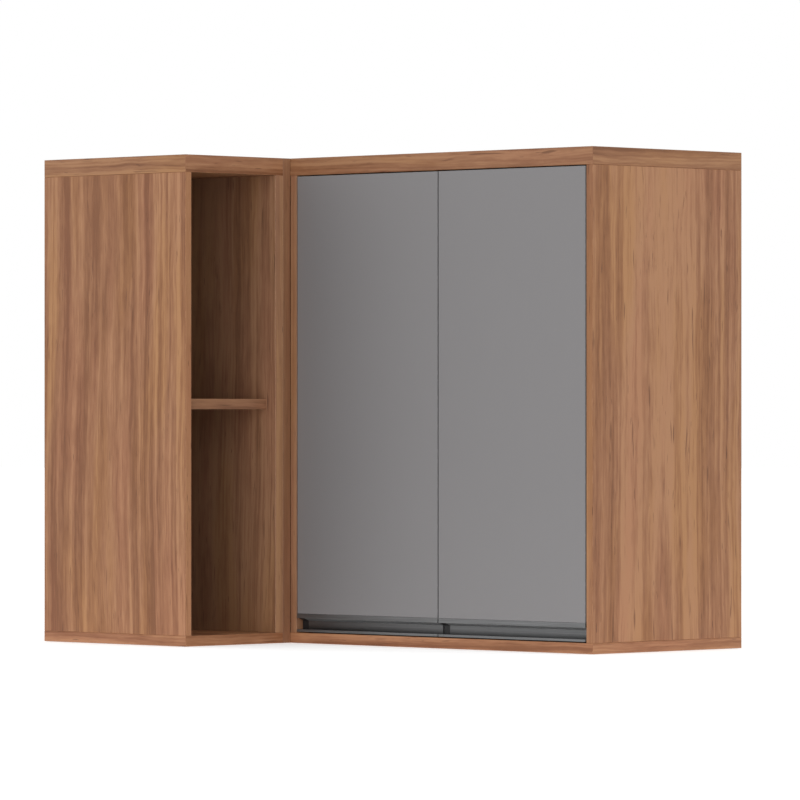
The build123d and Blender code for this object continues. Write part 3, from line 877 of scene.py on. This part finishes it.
class CABINET_OT_plugs(bpy.types.Operator):
    """Close the cut-back ends of the grip profiles"""
    bl_idname = "cabinet.plugs"
    bl_label = "Add End Plugs"

    def execute(self, context):
        sizes = context.scene.cabinet_plugs
        material = moulded("moulded_plug", sizes.plug_colour)
        for side in SIDES:
            plug = end_plug(side + "_grip_plug", side, sizes, material)
            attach(plug, side + "_door_leaf")
        return {"FINISHED"}


def lamp(name, place, target, power, size):
    """Lamp of a width and a height at a place, looking at a target."""
    data = bpy.data.lights.new(name, "AREA")
    data.energy = power
    data.shape = "RECTANGLE"
    data.size, data.size_y = size
    made = linked(name, data)
    made.location = place
    made.rotation_euler = (Vector(target) - Vector(place)).to_track_quat("-Z", "Y").to_euler()


def plainly_seen(recipe):
    """One for what the camera sees itself, in a reflection or through glass."""
    path = recipe.node("ShaderNodeLightPath").outputs
    return recipe.math("MAXIMUM", path["Is Camera Ray"], recipe.math(
        "MAXIMUM", path["Is Glossy Ray"], path["Is Transmission Ray"]))


def floor_material(settings):
    """White floor that keeps the cabinet's shadow, with a painted glow beside the cabinet that
    lights it from below though the floor is no lamp.
    """
    material = bpy.data.materials.new("white_floor")
    recipe = cleared(material)
    places = recipe.parts(recipe.node("ShaderNodeTexCoord").outputs["Object"])
    squares = []
    for axis in (0, 1):
        past = recipe.math("SUBTRACT", recipe.math("ABSOLUTE", places[axis]), cad_box[1][axis])
        squares.append(recipe.math("POWER", recipe.math("MAXIMUM", past, 0.0), 2.0))
    away = recipe.math("SQRT", recipe.math("ADD", *squares))
    # Painted light: near the cabinet the floor glows for all rays but those it is seen by
    painted_bounce_light = recipe.spread(away, settings.painted_bounce_reach, 0.0, 0.0, settings.painted_bounce_strength)
    white = settings.floor_white
    matt = recipe.node("ShaderNodeBsdfDiffuse", {"Color": (white, white, white, 1.0)})
    glow = recipe.node("ShaderNodeEmission", {
        "Color": WHITE,
        "Strength": recipe.pick(plainly_seen(recipe), painted_bounce_light, settings.floor_glow)})
    both = recipe.node("ShaderNodeAddShader", {0: matt.outputs[0], 1: glow.outputs[0]})
    recipe.node("ShaderNodeOutputMaterial", {"Surface": both.outputs[0]})
    return material


def white_world(strength):
    """Even white light, seen as plain white by the camera and in reflections."""
    world = bpy.data.worlds.new("studio")
    recipe = cleared(world)
    sky = recipe.node("ShaderNodeBackground", {
        "Color": WHITE, "Strength": recipe.pick(plainly_seen(recipe), strength, 1.0)})
    recipe.node("ShaderNodeOutputWorld", {"Surface": sky.outputs[0]})
    bpy.context.scene.world = world


class CABINET_OT_stage(bpy.types.Operator):
    """Set up the floor, the light and the camera"""
    bl_idname = "cabinet.stage"
    bl_label = "Set Up Stage"

    def execute(self, context):
        scene, settings = context.scene, context.scene.cabinet_stage
        half = settings.floor_size / 2
        corners = [(half * x, half * y, FLOOR_HEIGHT)
                   for x, y in ((-1, -1), (1, -1), (1, 1), (-1, 1))]
        mesh = bpy.data.meshes.new("studio_floor")
        mesh.from_pydata(corners, [], [(0, 1, 2, 3)])
        mesh.materials.append(floor_material(settings))
        ground = linked("studio_floor", mesh)
        white_world(settings.sky_strength)
        for name, (place, target, power, size) in LAMPS.items():
            lamp(name, place, target, power * settings.key_strength, size)
        data = bpy.data.cameras.new("camera")
        data.sensor_width = settings.sensor
        data.lens = settings.lens
        data.shift_y = settings.lift
        camera = linked("camera", data)
        camera.location = settings.camera_place
        camera.rotation_euler = (math.radians(90.0), 0.0, settings.camera_turn)
        scene.camera = camera
        scene.view_settings.view_transform = "Standard"
        return {"FINISHED"}


class CABINET_PT_panel(bpy.types.Panel):
    """Steps and settings of the cabinet"""
    bl_idname = "CABINET_PT_panel"
    bl_label = "Corner Wall Cabinet"
    bl_space_type = "VIEW_3D"
    bl_region_type = "UI"
    bl_category = "Cabinet"

    def draw(self, context):
        for step in STEPS:
            self.layout.operator(step.bl_idname)
        for name in GROUPS:
            group, box = getattr(context.scene, name), self.layout.box()
            for key in group.__annotations__:
                box.prop(group, key)


GROUPS = {"cabinet_finishes": CabinetFinishes, "cabinet_fittings": CabinetFittings,
          "cabinet_plugs": CabinetPlugs, "cabinet_stage": CabinetStage}
STEPS = [CABINET_OT_boards, CABINET_OT_backs, CABINET_OT_doors, CABINET_OT_hinges,
         CABINET_OT_screws, CABINET_OT_plugs, CABINET_OT_stage]


def register():
    for name, group in GROUPS.items():
        bpy.utils.register_class(group)
        setattr(bpy.types.Scene, name, PointerProperty(type=group))
    for step in STEPS:
        bpy.utils.register_class(step)
    bpy.utils.register_class(CABINET_PT_panel)


def unregister():
    bpy.utils.unregister_class(CABINET_PT_panel)
    for step in reversed(STEPS):
        bpy.utils.unregister_class(step)
    for name, group in GROUPS.items():
        delattr(bpy.types.Scene, name)
        bpy.utils.unregister_class(group)


def main():
    register()
    bpy.ops.cabinet.boards()
    bpy.ops.cabinet.backs()
    bpy.ops.cabinet.doors()
    bpy.ops.cabinet.hinges()
    bpy.ops.cabinet.screws()
    bpy.ops.cabinet.plugs()
    bpy.ops.cabinet.stage()


if __name__ == "__main__":
    main()
